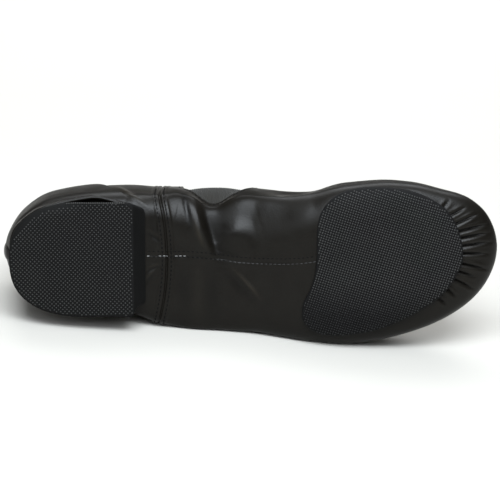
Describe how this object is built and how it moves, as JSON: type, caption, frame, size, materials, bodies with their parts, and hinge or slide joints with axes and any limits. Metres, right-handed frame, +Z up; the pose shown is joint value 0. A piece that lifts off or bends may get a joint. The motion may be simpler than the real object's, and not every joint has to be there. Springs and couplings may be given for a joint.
{
  "type": "split-sole dance shoe",
  "caption": "Left slip-on split-sole jazz dance shoe lying on its outer side: soft hollow leather upper with elastic gores, separate rubber heel block and forefoot sole, bare arch between.",
  "frame": {"origin": "On the floor, at the middle of the bottom of the lying shoe's bounding box", "axes": "+X from heel to toe along the lying shoe, -Y the way the sole faces, +Z up from the floor; the shoe lies on its outer side"},
  "size_m": [0.2514, 0.0808, 0.0853],
  "materials": {
    "leather": "soft black full-grain leather, low sheen, creased at the arch and pleated round the toe",
    "elastic": "black ribbed elastic webbing, matt",
    "sock_cloth": "dark woven sock lining over thin foam, matt",
    "rubber": "charcoal moulded rubber with a fine raised dot tread, matt"
  },
  "bodies": {
    "root": {"upper": "leather", "heel_counter": "leather", "back_strip": "leather", "gore_inner": "elastic", "gore_outer": "elastic", "insole": "sock_cloth", "forefoot_sole": "rubber", "heel_block": "rubber"}
  },
  "joints": []
}
